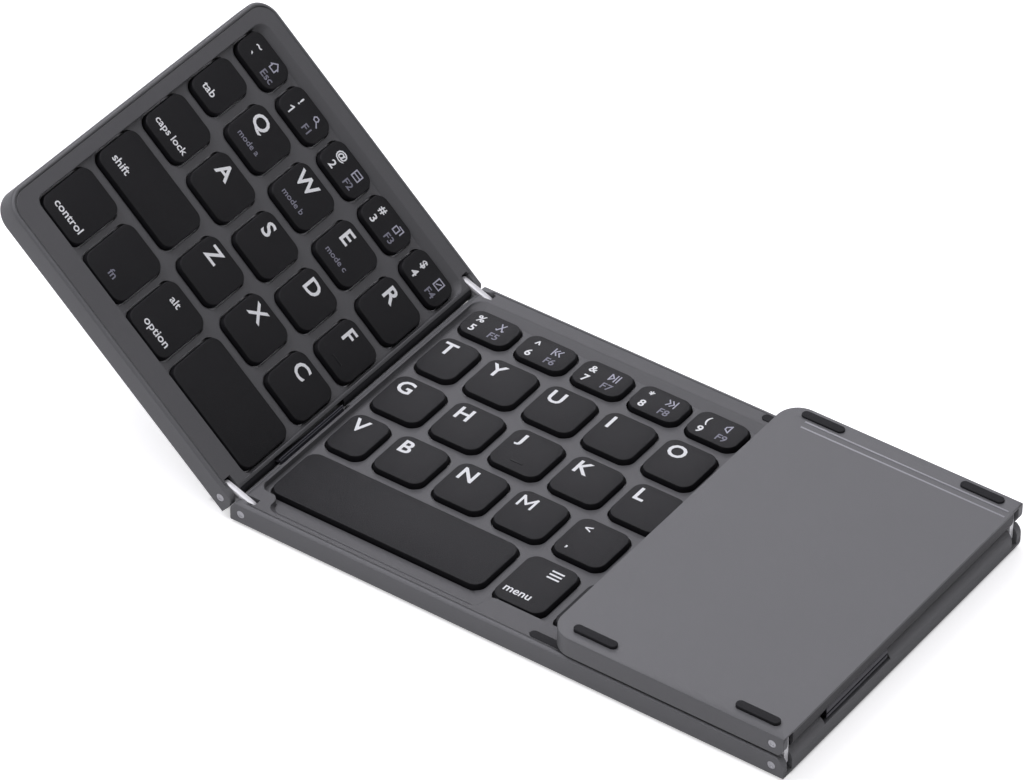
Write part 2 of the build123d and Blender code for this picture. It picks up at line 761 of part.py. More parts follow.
def place_right(shape):
    """From the right panel's own flat frame to its place at rest."""
    z = THICK - HINGE_R
    pin = MIDDLE_LEN - HINGE_R
    flat = Pos(MIDDLE_LEN + GAP, 0, 0) * shape
    return turn(turn(flat, pin + PITCH, z, -RIGHT_FOLD / 2), pin, z, -RIGHT_FOLD / 2)


def left_key_places():
    """Keys of the left panel in its own frame, which runs from the hinge to the left."""
    far = LEFT_LEN - KEYS_FAR_LEFT
    placed = key_places(LEFT_ROWS, LEFT_LEN - far, LEFT_LEN - KEYS_HINGE_LEFT)
    return [(node, index, LEFT_LEN - x1, LEFT_LEN - x0, y0, y1)
            for node, index, x0, x1, y0, y1 in placed]


def middle_nodes():
    """Pieces of the middle panel."""
    places = key_places(MIDDLE_ROWS, KEYS_SIDE_MIDDLE, MIDDLE_LEN - KEYS_SIDE_MIDDLE)
    left_ribbon, right_ribbon = ribbons()
    nodes = {
        "middle_bottom_case": [bottom_case(MIDDLE_LEN, True, True)],
        "middle_top_frame": [middle_frame(places)],
        "middle_switch_plate": [switch_plate(MIDDLE_LEN) - port_room()],
        "middle_key_lifts": key_lifts(places),
        "middle_feet": feet(MIDDLE_LEN, True),
        "middle_bumpers": bumpers(),
        "middle_magnets": magnets(middle_magnet_xs()),
        "middle_hinge_pins": hinge_pins(MIDDLE_LEN, True),
        "circuit_board": [circuit_board()],
        "battery": [battery()],
        "charging_port": [charging_port()],
        "indicator_lights": lenses(),
        "left_ribbon_cable": [left_ribbon],
        "right_ribbon_cable": [right_ribbon],
    }
    nodes.update(key_nodes(places))
    return nodes


def left_nodes():
    """Pieces of the left panel, placed at rest."""
    places = left_key_places()
    nodes = {
        "left_bottom_case": [bottom_case(LEFT_LEN, False, True)],
        "left_top_frame": [left_frame(places)],
        "left_end_cap": [end_cap()],
        "left_switch_plate": [switch_plate(LEFT_LEN)],
        "left_key_lifts": key_lifts(places),
        "left_feet": feet(LEFT_LEN, False),
        "left_magnet": magnets([left_magnet_x()]),
        "left_hinge_pins": hinge_pins(LEFT_LEN, False),
    }
    nodes.update(key_nodes(places))
    return {name: [place_left(s) for s in shapes] for name, shapes in nodes.items()}


def right_nodes():
    """Pieces of the right panel, placed at rest."""
    nodes = {
        "right_bottom_case": [bottom_case(RIGHT_LEN, False, False)],
        "right_top_frame": [right_frame()],
        "right_end_cap": [end_cap()],
        "right_feet": feet(RIGHT_LEN, False),
        "right_magnet": magnets([right_magnet_x()]),
        "right_hinge_pins": hinge_pins(RIGHT_LEN, False),
        "touchpad": [touchpad()],
        "touchpad_board": [touchpad_board()],
    }
    return {name: [place_right(s) for s in shapes] for name, shapes in nodes.items()}


def hinge_nodes():
    """Links of both folds, placed at rest."""
    z = THICK - HINGE_R
    right_pin = MIDDLE_LEN - HINGE_R
    left_links = [turn(s, HINGE_R, z, LEFT_FOLD / 2) for s in hinge_links(HINGE_R, -1)]
    right_links = [turn(s, right_pin, z, -RIGHT_FOLD / 2) for s in hinge_links(right_pin, 1)]
    return {
        "left_hinge_links": left_links,
        "right_hinge_links": right_links,
    }


def all_nodes():
    """Every piece by node name, at rest, with the origin under the middle of the box."""
    nodes = {**middle_nodes(), **left_nodes(), **right_nodes(), **hinge_nodes()}
    box = Compound([s for shapes in nodes.values() for s in shapes]).bounding_box()
    shift = Location((-(box.min.X + box.max.X) / 2, -(box.min.Y + box.max.Y) / 2, -box.min.Z))
    moved = {name: [shift * s for s in shapes] for name, shapes in nodes.items()}
    return moved, shift


def main():
    """Write one STEP file per node."""
    os.makedirs("parts", exist_ok=True)
    nodes, _ = all_nodes()
    for name, shapes in nodes.items():
        solids = [solid for shape in shapes for solid in shape.solids()]
        whole = solids[0] if len(solids) == 1 else Compound(solids)
        export_step(whole, f"parts/{name}.step")


main()
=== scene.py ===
"""Folding keyboard: finishes, key caps, legends, hinge heads, light and camera."""
import json
import math

import bpy
from mathutils import Matrix, Vector

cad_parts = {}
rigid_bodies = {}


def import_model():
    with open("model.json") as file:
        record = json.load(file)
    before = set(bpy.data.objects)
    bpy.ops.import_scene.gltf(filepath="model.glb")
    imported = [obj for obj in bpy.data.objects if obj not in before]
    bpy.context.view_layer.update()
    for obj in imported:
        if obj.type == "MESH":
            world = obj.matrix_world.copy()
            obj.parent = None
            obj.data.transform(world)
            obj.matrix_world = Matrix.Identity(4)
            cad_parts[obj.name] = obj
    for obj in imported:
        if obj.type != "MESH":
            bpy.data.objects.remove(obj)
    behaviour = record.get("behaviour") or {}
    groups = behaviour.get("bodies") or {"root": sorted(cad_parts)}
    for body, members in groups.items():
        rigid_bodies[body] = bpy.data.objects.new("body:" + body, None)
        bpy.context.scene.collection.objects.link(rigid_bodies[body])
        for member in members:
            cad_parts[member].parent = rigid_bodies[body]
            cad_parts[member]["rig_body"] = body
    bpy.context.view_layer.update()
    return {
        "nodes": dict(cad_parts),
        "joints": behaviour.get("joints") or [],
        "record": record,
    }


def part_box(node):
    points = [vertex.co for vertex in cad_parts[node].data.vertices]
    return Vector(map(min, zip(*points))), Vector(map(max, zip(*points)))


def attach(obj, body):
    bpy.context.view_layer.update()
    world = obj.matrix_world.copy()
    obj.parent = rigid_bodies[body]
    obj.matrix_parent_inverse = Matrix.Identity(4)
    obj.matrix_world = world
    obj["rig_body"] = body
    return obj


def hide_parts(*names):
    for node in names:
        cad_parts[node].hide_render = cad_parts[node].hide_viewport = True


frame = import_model()

MM = 0.001

# ---- sizes that the finishes need, in millimetres ------------------------------------------
THICK = 5.9
DEPTH = 98.0
MIDDLE_LEN = 150.3
LEFT_LEN = 86.9
RIGHT_LEN = 62.6
HINGE_R = THICK / 2
LEFT_FOLD = math.radians(42.4)
KEY_TOP = THICK - 0.2
KEY_H = 1.65
KEY_R = 2.9
KEY_LEAN = 0.22
KEY_SKIRT, KEY_ROOF = 1.5, 0.7
ROW_SHARES = (17.0, 13.9, 13.9, 13.9, 9.2)
KEYS_FRONT, KEYS_BACK, ROW_GAP = 8.3, 7.8, 3.5
SPLIT_GAP = 0.9
HOME_BAR = (3.4, 0.5, 0.1)
HOME_BAR_Y = 2.6

LEFT_ROWS = (
    (2.6, (("left_control_key", (13.7,)), ("fn_key", (13.7,)), ("left_alt_key", (13.7,)),
           ("left_space_key", (28.9,)))),
    (3.1, (("left_shift_key", (27.5,)), ("left_letter_keys_lower", (13.6, 13.6, 13.8)))),
    (3.1, (("caps_key", (13.9,)), ("left_letter_keys_home", (14.2, 13.5, 11.9, 12.1)))),
    (3.3, (("tab_key", (10.3,)), ("left_letter_keys_upper", (13.7, 13.5, 13.3, 13.4)))),
    (2.4, (("esc_key", (13.7,)), ("left_number_keys", (13.6, 13.6, 13.6, 13.6)))),
)
MIDDLE_ROWS = (
    (3.1, (("space_key", (58.7,)), ("menu_key", (13.6,)), ("right_alt_key", (13.6,)),
           ("arrow_left_key", (13.2,)), (("arrow_down_key", "arrow_up_key"), (13.2,)),
           ("arrow_right_key", (13.2,)))),
    (3.1, (("letter_keys_lower", (10.2,) + (13.6,) * 6), ("right_shift_key", (27.0,)))),
    (3.1, (("letter_keys_home", (13.6,) * 7), ("enter_key", (23.8,)))),
    (3.1, (("letter_keys_upper", (10.8,) + (13.6,) * 7 + (10.2,)),)),
    (2.5, (("number_keys", (13.6,) * 8), ("backspace_key", (12.4,)))),
)
LEFT_SPAN = (5.5, LEFT_LEN - 3.75)
MIDDLE_SPAN = (4.7, MIDDLE_LEN - 4.7)


# ---- small helpers -------------------------------------------------------------------------
def drop_selection():
    """Nothing selected, object mode."""
    if bpy.context.object and bpy.context.object.mode != "OBJECT":
        bpy.ops.object.mode_set(mode="OBJECT")
    bpy.ops.object.select_all(action="DESELECT")


def only(obj):
    """Makes one object the selected and active one."""
    drop_selection()
    obj.select_set(True)
    bpy.context.view_layer.objects.active = obj


def settle(obj):
    """Puts an object's place into its mesh."""
    only(obj)
    bpy.ops.object.transform_apply(location=True, rotation=True, scale=True)


def pick(obj, kind, test):
    """Selects the mesh parts of one kind whose centre and normal pass the test."""
    only(obj)
    bpy.ops.object.mode_set(mode="EDIT")
    bpy.ops.mesh.select_mode(type=kind)
    bpy.ops.mesh.select_all(action="DESELECT")
    bpy.ops.object.mode_set(mode="OBJECT")
    mesh = obj.data
    if kind == "FACE":
        for face in mesh.polygons:
            face.select = test(face.center, face.normal)
    else:
        for edge in mesh.edges:
            a, b = (mesh.vertices[i].co for i in edge.vertices)
            edge.select = test((a + b) / 2, b - a)
    bpy.ops.object.mode_set(mode="EDIT")


def joined(objects, name):
    """Joins objects into one with its own mesh and name."""
    drop_selection()
    for obj in objects:
        obj.select_set(True)
    bpy.context.view_layer.objects.active = objects[0]
    if len(objects) > 1:
        bpy.ops.object.join()
    whole = bpy.context.view_layer.objects.active
    whole.name = name
    whole.data.name = name
    return whole


def copy_of(obj, name):
    """A copy of an object with its own mesh."""
    twin = obj.copy()
    twin.data = obj.data.copy()
    twin.name = name
    bpy.context.scene.collection.objects.link(twin)
    return twin


def smoothed(obj, degrees=30):
    """Rounds the shading below an angle."""
    only(obj)
    bpy.ops.object.shade_smooth_by_angle(angle=math.radians(degrees), keep_sharp_edges=False)


def flat_faces_first(obj):
    """Lets large flat faces keep their own shading beside small rounds."""
    only(obj)
    weigh = obj.modifiers.new("weigh", "WEIGHTED_NORMAL")
    weigh.keep_sharp = True
    weigh.weight = 100
    bpy.ops.object.modifier_apply(modifier=weigh.name)


# ---- places of the panels ------------------------------------------------------------------
JOINT = {j["name"]: Vector(j["pos_m"]) for j in frame["joints"] if "pos_m" in j}
CASE_LOW = Vector(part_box("middle_bottom_case")[0])


def middle_place():
    """From the middle panel's own millimetres to its place."""
    return Matrix.Translation(CASE_LOW) @ Matrix.Scale(MM, 4)


def left_place():
    """From the left panel's own millimetres, x from its far end, to its place at rest."""
    pin = Vector((JOINT["left_panel_fold"].x, CASE_LOW.y, JOINT["left_panel_fold"].z))
    turn = Matrix.Rotation(LEFT_FOLD, 4, "Y")
    back = Matrix.Translation((-(LEFT_LEN - HINGE_R), 0, -(THICK - HINGE_R)))
    return Matrix.Translation(pin) @ turn @ Matrix.Scale(MM, 4) @ back


def right_place():
    """From the right panel's own millimetres, x from its hinge end, to its place at rest."""
    pin = Vector((JOINT["right_panel_fold"].x, CASE_LOW.y, JOINT["right_panel_fold"].z))
    back = Matrix.Translation((-HINGE_R, 0, -(THICK - HINGE_R)))
    return Matrix.Translation(pin) @ Matrix.Rotation(math.pi, 4, "Y") @ Matrix.Scale(MM, 4) @ back


def row_spans():
    """Front and back edge of each key row."""
    total = DEPTH - KEYS_FRONT - KEYS_BACK - ROW_GAP * (len(ROW_SHARES) - 1)
    spans, y = [], KEYS_FRONT
    for share in ROW_SHARES:
        size = total * share / sum(ROW_SHARES)
        spans.append((y, y + size))
        y += size + ROW_GAP
    return spans


def key_places(rows, span):
    """Rectangles of the key tops by node, left to right."""
    places = {}
    for (gap, nodes), (y0, y1) in zip(rows, row_spans()):
        widths = [w for _, sizes in nodes for w in sizes]
        scale = (span[1] - span[0] - gap * (len(widths) - 1)) / sum(widths)
        x = span[0]
        for node, sizes in nodes:
            for width in sizes:
                far = x + width * scale
                if isinstance(node, str):
                    places.setdefault(node, []).append((x, far, y0, y1))
                else:
                    half = (y1 - y0 - SPLIT_GAP) / 2
                    places[node[0]] = [(x, far, y0, y0 + half)]
                    places[node[1]] = [(x, far, y1 - half, y1)]
                x = far + gap
    return places


# ---- shared effects ------------------------------------------------------------------------
def new_group(name, inputs, outputs):
    """An empty node group with named float or colour sockets."""
    group = bpy.data.node_groups.new(name, "ShaderNodeTree")
    for label, kind, default in inputs:
        sock = group.interface.new_socket(label, in_out="INPUT", socket_type=kind)
        sock.default_value = default
    for label, kind in outputs:
        group.interface.new_socket(label, in_out="OUTPUT", socket_type=kind)
    ends = group.nodes.new("NodeGroupInput"), group.nodes.new("NodeGroupOutput")
    return (group,) + ends


def grain_group():
    """Fine moulded or blasted grain: a tinted colour, a roughness and a bump height."""
    group, start, end = new_group(
        "surface_grain",
        [("Color", "NodeSocketColor", (0.1, 0.1, 0.1, 1)), ("Grain Scale", "NodeSocketFloat", 4000.0),
         ("Tint", "NodeSocketFloat", 0.1), ("Roughness", "NodeSocketFloat", 0.5),
         ("Wander", "NodeSocketFloat", 0.05)],
        [("Color", "NodeSocketColor"), ("Roughness", "NodeSocketFloat"),
         ("Height", "NodeSocketFloat")])
    nodes, links = group.nodes, group.links
    where = nodes.new("ShaderNodeTexCoord")
    fine = nodes.new("ShaderNodeTexNoise")
    fine.inputs["Detail"].default_value = 2.0
    cloud = nodes.new("ShaderNodeTexNoise")
    cloud.inputs["Scale"].default_value = 45.0
    cloud.inputs["Detail"].default_value = 3.0
    links.new(where.outputs["Object"], fine.inputs["Vector"])
    links.new(where.outputs["Object"], cloud.inputs["Vector"])
    links.new(start.outputs["Grain Scale"], fine.inputs["Scale"])
    speck = span_node(nodes, links, fine.outputs["Fac"], 0.35, 0.65)
    drift = span_node(nodes, links, cloud.outputs["Fac"], 0.3, 0.7)
    both = maths(nodes, links, "ADD", maths(nodes, links, "MULTIPLY", speck, 0.65),
                 maths(nodes, links, "MULTIPLY", drift, 0.35))
    level = maths(nodes, links, "SUBTRACT", both, 0.5)
    lift = maths(nodes, links, "ADD", maths(nodes, links, "MULTIPLY", level, start.outputs["Tint"]), 1.0)
    shade = nodes.new("ShaderNodeVectorMath")
    shade.operation = "SCALE"
    links.new(start.outputs["Color"], shade.inputs[0])
    links.new(lift, shade.inputs["Scale"])
    links.new(shade.outputs["Vector"], end.inputs["Color"])
    rough = maths(nodes, links, "ADD", start.outputs["Roughness"],
                  maths(nodes, links, "MULTIPLY", level, start.outputs["Wander"]))
    links.new(rough, end.inputs["Roughness"])
    links.new(speck, end.inputs["Height"])
    return group


def maths(nodes, links, kind, a, b):
    """A math node on two sockets or numbers; returns its output."""
    node = nodes.new("ShaderNodeMath")
    node.operation = kind
    for slot, value in zip(node.inputs, (a, b)):
        if isinstance(value, (int, float)):
            slot.default_value = value
        else:
            links.new(value, slot)
    return node.outputs[0]


def span_node(nodes, links, value, low, high):
    """Stretches low..high of a value to 0..1."""
    node = nodes.new("ShaderNodeMapRange")
    node.inputs["From Min"].default_value = low
    node.inputs["From Max"].default_value = high
    links.new(value, node.inputs["Value"])
    return node.outputs["Result"]


GRAIN = grain_group()


def finish_of(name, color, roughness, metallic=0.0, grain=4000.0, tint=0.15, wander=0.08,
              bump=0.00002, specular=0.5):
    """A material with the shared grain on the shader's colour, roughness and bump."""
    material = bpy.data.materials.new(name)
    material.use_nodes = True
    nodes, links = material.node_tree.nodes, material.node_tree.links
    shader = nodes["Principled BSDF"]
    shader.inputs["Metallic"].default_value = metallic
    shader.inputs["Specular IOR Level"].default_value = specular
    grains = nodes.new("ShaderNodeGroup")
    grains.node_tree = GRAIN
    grains.inputs["Color"].default_value = (*color, 1)
    grains.inputs["Grain Scale"].default_value = grain
    grains.inputs["Tint"].default_value = tint
    grains.inputs["Roughness"].default_value = roughness
    grains.inputs["Wander"].default_value = wander
    links.new(grains.outputs["Color"], shader.inputs["Base Color"])
    links.new(grains.outputs["Roughness"], shader.inputs["Roughness"])
    relief = nodes.new("ShaderNodeBump")
    relief.inputs["Distance"].default_value = bump
    links.new(grains.outputs["Height"], relief.inputs["Height"])
    links.new(relief.outputs["Normal"], shader.inputs["Normal"])
    return material


FINISH = {
    "casing": finish_of("blasted_grey_casing", (0.134, 0.135, 0.140), 0.46, 0.0, 5200.0, 0.16),
    "frame": finish_of("grey_frame", (0.089, 0.089, 0.093), 0.45, 0.0, 5200.0, 0.16),
    "end_cap": finish_of("black_end_cap", (0.010, 0.010, 0.012), 0.4),
    "key": finish_of("matte_black_key", (0.0060, 0.0058, 0.0072), 0.45, 0.0, 6500.0, 0.25,
                     specular=0.28),
    "rubber": finish_of("black_rubber", (0.014, 0.014, 0.016), 0.7, specular=0.3),
    "lift": finish_of("white_lift", (0.6, 0.6, 0.6), 0.5),
    "link": finish_of("bright_link", (0.90, 0.90, 0.91), 0.36, 0.3, 900.0, 0.05, bump=0.0),
    "pin": finish_of("bright_pin", (0.52, 0.52, 0.54), 0.32, 1.0, 900.0, 0.05, bump=0.0),
    "plate": finish_of("rolled_plate", (0.45, 0.45, 0.46), 0.4, 1.0),
    "magnet": finish_of("nickel_magnet", (0.55, 0.55, 0.56), 0.3, 1.0),
    "battery": finish_of("foil_pouch", (0.5, 0.5, 0.52), 0.35, 1.0),
    "board": finish_of("green_board", (0.02, 0.12, 0.05), 0.4),
    "port": finish_of("port_shell", (0.5, 0.5, 0.52), 0.3, 1.0),
    "light": finish_of("clear_light", (0.5, 0.52, 0.55), 0.2),
    "ribbon": finish_of("black_ribbon", (0.055, 0.055, 0.065), 0.4),
    "pad": finish_of("satin_pad", (0.02, 0.02, 0.022), 0.35),
    "legend": finish_of("white_legend", (0.80, 0.81, 0.82), 0.5),
    # lighter grey for the thin lines on the strip's slope edges: a painted highlight
    "painted_highlight_edge": finish_of("painted_highlight_line", (0.30, 0.30, 0.32), 0.32),
    "sign": finish_of("pale_sign", (0.42, 0.42, 0.50), 0.5),
    "dim_legend": finish_of("blue_grey_legend", (0.20, 0.20, 0.25), 0.5),
}


def dress(obj, slot):
    """Gives a piece one finish."""
    obj.data.materials.clear()
    obj.data.materials.append(FINISH[slot])


def dress_frame():
    """Gives every CAD node its finish."""
    for entry in frame["record"]["subparts"]:
        node = frame["nodes"][entry["node"]]
        for slot in node.material_slots:
            slot.material = FINISH[entry["material_slot"]]


def round_wells(twin, place, span):
    """Rounds the corners of the key wells in a top frame."""
    twin.data.transform(place.inverted())
    only(twin)
    bpy.ops.object.mode_set(mode="EDIT")
    bpy.ops.mesh.select_all(action="SELECT")
    bpy.ops.mesh.dissolve_limited(angle_limit=math.radians(0.3))
    bpy.ops.object.mode_set(mode="OBJECT")
    low, high = KEYS_FRONT - 0.9, DEPTH - KEYS_BACK + 0.9

    def corner(centre, run):
        return (run.length > 0.5 and abs(run.z) > run.length * 0.999 and centre.z > WELL_FOOT
                and low < centre.y < high and span[0] - 0.9 < centre.x < span[1] + 0.9)

    pick(twin, "EDGE", corner)
    bpy.ops.mesh.bevel(offset=0.95, segments=4, affect="EDGES")
    bpy.ops.object.mode_set(mode="OBJECT")
    soften_rim(twin)
    twin.data.transform(place)


def soften_rim(twin):
    """A small bevel along the inner edge of the rim, where the deck drops."""
    mesh = twin.data
    sides = {}
    for face in mesh.polygons:
        for key in face.edge_keys:
            sides.setdefault(key, []).append(face.normal.copy())
    only(twin)
    bpy.ops.object.mode_set(mode="EDIT")
    bpy.ops.mesh.select_mode(type="EDGE")
    bpy.ops.mesh.select_all(action="DESELECT")
    bpy.ops.object.mode_set(mode="OBJECT")
    for edge in mesh.edges:
        a, b = (mesh.vertices[i].co for i in edge.vertices)
        flats = sides.get(edge.key, [])
        if min(a.z, b.z) < THICK - 0.02 or len(flats) != 2:
            continue
        level = max(n.z for n in flats)
        tilt = min(n.z for n in flats)
        inside = 2.2 < a.y < DEPTH - 2.2 and 2.2 < b.y < DEPTH - 2.2
        edge.select = inside and level > 0.99 and tilt < 0.97
    bpy.ops.object.mode_set(mode="EDIT")
    bpy.ops.mesh.bevel(offset=0.22, segments=2, profile=0.5, affect="EDGES")
    bpy.ops.object.mode_set(mode="OBJECT")


WELL_FOOT = 3.3


def longer_slots(twin, place, ends):
    """Lengthens the hinge slots of a top frame, for the ribs of the links."""
    for x in ends:
        for y in (SLOT_FRONT, DEPTH - SLOT_FRONT - SLOT_W):
            drop_selection()
            bpy.ops.mesh.primitive_cube_add(size=1, location=(x, y + SLOT_W / 2, THICK),
                                            scale=(2 * RIB_ROOM, SLOT_W, 2 * THICK - 1.6))
            box = bpy.context.object
            settle(box)
            box.data.transform(place)
            only(twin)
            cut = twin.modifiers.new("cut", "BOOLEAN")
            cut.operation = "DIFFERENCE"
            cut.object = box
            bpy.ops.object.modifier_apply(modifier=cut.name)
            bpy.data.objects.remove(box)


SLOT_FRONT, SLOT_W = 1.8, 2.1
SLOT_END, RIB_ROOM = 5.1, 0.65


def smooth_twin(node, slot):
    """A merged copy of a CAD node whose round faces are shaded round."""
    twin = copy_of(frame["nodes"][node], "smooth_" + node)
    twin.parent = None
    for key in list(twin.keys()):
        del twin[key]
    only(twin)
    bpy.ops.object.mode_set(mode="EDIT")
    bpy.ops.mesh.select_all(action="SELECT")
    bpy.ops.mesh.remove_doubles(threshold=1e-6)
    bpy.ops.object.mode_set(mode="OBJECT")
    if node == "middle_top_frame":
        round_wells(twin, middle_place(), MIDDLE_SPAN)
        longer_slots(twin, middle_place(), (SLOT_END, MIDDLE_LEN - SLOT_END))
    if node == "left_top_frame":
        round_wells(twin, left_place(), LEFT_SPAN)
        longer_slots(twin, left_place(), (LEFT_LEN - SLOT_END,))
    if node == "right_top_frame":
        longer_slots(twin, right_place(), (SLOT_END,))
    smoothed(twin, 32)
    flat_faces_first(twin)
    dress(twin, slot)
    return twin


# ---- key caps ------------------------------------------------------------------------------
CAPS = {}


def cap_shape(wide, deep):
    """One key cap about the origin, its top on z = 0: leaning sides and rounded top edge."""
    size = (round(wide, 3), round(deep, 3))
    if size in CAPS:
        return copy_of(CAPS[size], "cap")
    drop_selection()
    bpy.ops.mesh.primitive_cube_add(size=1, location=(0, 0, -KEY_H / 2),
                                    scale=(wide + 2 * KEY_LEAN, deep + 2 * KEY_LEAN, KEY_H))
    cap = bpy.context.object
    settle(cap)
    upright = lambda centre, run: abs(run.z) > KEY_H * 0.9
    pick(cap, "EDGE", upright)
    bpy.ops.mesh.bevel(offset=KEY_R, segments=8, profile=0.5, affect="EDGES")
    pick(cap, "FACE", lambda centre, normal: normal.z > 0.9)
    bpy.ops.transform.resize(value=(wide / (wide + 2 * KEY_LEAN), deep / (deep + 2 * KEY_LEAN), 1))
    bpy.ops.mesh.region_to_loop()
    bpy.ops.mesh.bevel(offset=0.2, segments=3, profile=0.5, affect="EDGES")
    bpy.ops.object.mode_set(mode="OBJECT")
    pick(cap, "FACE", lambda centre, normal: normal.z < -0.9)
    bpy.ops.mesh.inset(thickness=KEY_SKIRT)
    bpy.ops.transform.translate(value=(0, 0, KEY_H - KEY_ROOF))
    bpy.ops.object.mode_set(mode="OBJECT")
    smoothed(cap, 40)
    CAPS[size] = cap
    return copy_of(cap, "cap")


def make_caps(places, matrix, home):
    """Key caps of one panel, one piece for each node."""
    for node, tops in places.items():
        caps = []
        for index, (x0, x1, y0, y1) in enumerate(tops):
            cap = cap_shape(x1 - x0, y1 - y0)
            cap.location = ((x0 + x1) / 2, (y0 + y1) / 2, KEY_TOP)
            caps.append(cap)
            if home.get(node) == index:
                caps.append(home_bar((x0 + x1) / 2, y0))
        piece = joined(caps, "cap_" + node)
        settle(piece)
        piece.data.transform(matrix)
        dress(piece, "key")
        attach(piece, node)
        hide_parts(node)


def home_bar(x, y0):
    """Rounded bar that a fingertip finds."""
    long, wide, high = HOME_BAR
    drop_selection()
    bpy.ops.mesh.primitive_cube_add(size=1, location=(x, y0 + HOME_BAR_Y + wide / 2, KEY_TOP + high / 2 - 0.05),
                                    scale=(long, wide, high + 0.1))
    bar = bpy.context.object
    settle(bar)
    pick(bar, "FACE", lambda centre, normal: normal.z > 0.9)
    bpy.ops.mesh.region_to_loop()
    bpy.ops.mesh.bevel(offset=0.12, segments=3, affect="EDGES")
    bpy.ops.object.mode_set(mode="OBJECT")
    smoothed(bar, 40)
    return bar


# ---- legends -------------------------------------------------------------------------------
LEGEND_T = 0.012


def word(text, x, y, high, align="LEFT", heavy=0.018):
    """A flat word whose capitals are high millimetres, its baseline at y."""
    drop_selection()
    bpy.ops.object.text_add(location=(0, 0, 0))
    label = bpy.context.object
    label.data.body = text
    label.data.align_x = align
    label.data.size = high / 0.73
    label.data.extrude = LEGEND_T / 2
    label.data.offset = high * heavy
    label.data.resolution_u = 3
    only(label)
    bpy.ops.object.convert(target="MESH")
    label = bpy.context.object
    label.location = (x, y, KEY_TOP + LEGEND_T / 2)
    settle(label)
    return label


def strokes(lines, x, y, size, wide=0.28):
    """A small sign drawn with straight strokes on a unit square, its corner at x, y."""
    parts = []
    for step, (x0, y0, x1, y1) in enumerate(lines):
        a = Vector((x + x0 * size, y + y0 * size))
        b = Vector((x + x1 * size, y + y1 * size))
        run = b - a
        drop_selection()
        bpy.ops.mesh.primitive_cube_add(size=1, scale=(run.length + wide * 0.8, wide, LEGEND_T))
        bar = bpy.context.object
        bar.rotation_euler = (0, 0, math.atan2(run.y, run.x))
        bar.location = ((a.x + b.x) / 2, (a.y + b.y) / 2, KEY_TOP + LEGEND_T / 2 + 0.002 * step)
        settle(bar)
        parts.append(bar)
    return parts


HOUSE = ((0, 0.45, 0.5, 1), (0.5, 1, 1, 0.45), (0.15, 0.5, 0.15, 0), (0.15, 0, 0.85, 0), (0.85, 0, 0.85, 0.5))
LENS = ((0.05, 0.7, 0.2, 0.95), (0.2, 0.95, 0.5, 0.95), (0.5, 0.95, 0.62, 0.7), (0.62, 0.7, 0.5, 0.45),
        (0.5, 0.45, 0.2, 0.45), (0.2, 0.45, 0.05, 0.7), (0.55, 0.45, 0.95, 0.05))
BOARD = ((0.05, 0.05, 0.95, 0.05), (0.95, 0.05, 0.95, 0.95), (0.95, 0.95, 0.05, 0.95),
         (0.05, 0.95, 0.05, 0.05), (0.05, 0.5, 0.95, 0.5))
SHEETS = ((0.05, 0.05, 0.6, 0.05), (0.6, 0.05, 0.6, 0.7), (0.6, 0.7, 0.05, 0.7), (0.05, 0.7, 0.05, 0.05),
          (0.35, 0.95, 0.95, 0.95), (0.95, 0.95, 0.95, 0.3))
PAGE = ((0.1, 0, 0.9, 0), (0.9, 0, 0.9, 1), (0.9, 1, 0.1, 1), (0.1, 1, 0.1, 0), (0.3, 0.3, 0.7, 0.7))
SCISSORS = ((0.2, 0, 0.75, 1), (0.8, 0, 0.25, 1), (0.1, 0.1, 0.3, 0.1), (0.7, 0.1, 0.9, 0.1))
BACK = ((0.05, 0, 0.05, 1), (0.5, 0.1, 0.2, 0.5), (0.2, 0.5, 0.5, 0.9), (0.9, 0.1, 0.6, 0.5), (0.6, 0.5, 0.9, 0.9))
PLAY = ((0.05, 0.05, 0.05, 0.95), (0.05, 0.95, 0.45, 0.5), (0.45, 0.5, 0.05, 0.05), (0.65, 0, 0.65, 1), (0.95, 0, 0.95, 1))
NEXT = ((0.05, 0.1, 0.35, 0.5), (0.35, 0.5, 0.05, 0.9), (0.45, 0.1, 0.75, 0.5), (0.75, 0.5, 0.45, 0.9), (0.95, 0, 0.95, 1))
QUIET = ((0.1, 0.35, 0.1, 0.65), (0.1, 0.65, 0.55, 1), (0.55, 1, 0.55, 0), (0.55, 0, 0.1, 0.35))
SOFTER = QUIET + ((0.8, 0.35, 0.8, 0.65),)
LOUDER = QUIET + ((0.8, 0.35, 0.8, 0.65), (1.0, 0.2, 1.0, 0.8))
PADLOCK = ((0.1, 0, 0.9, 0), (0.9, 0, 0.9, 0.55), (0.9, 0.55, 0.1, 0.55), (0.1, 0.55, 0.1, 0), (0.3, 0.55, 0.3, 1),
           (0.3, 1, 0.7, 1), (0.7, 1, 0.7, 0.55))
LIST = ((0, 0.1, 1, 0.1), (0, 0.5, 1, 0.5), (0, 0.9, 1, 0.9))

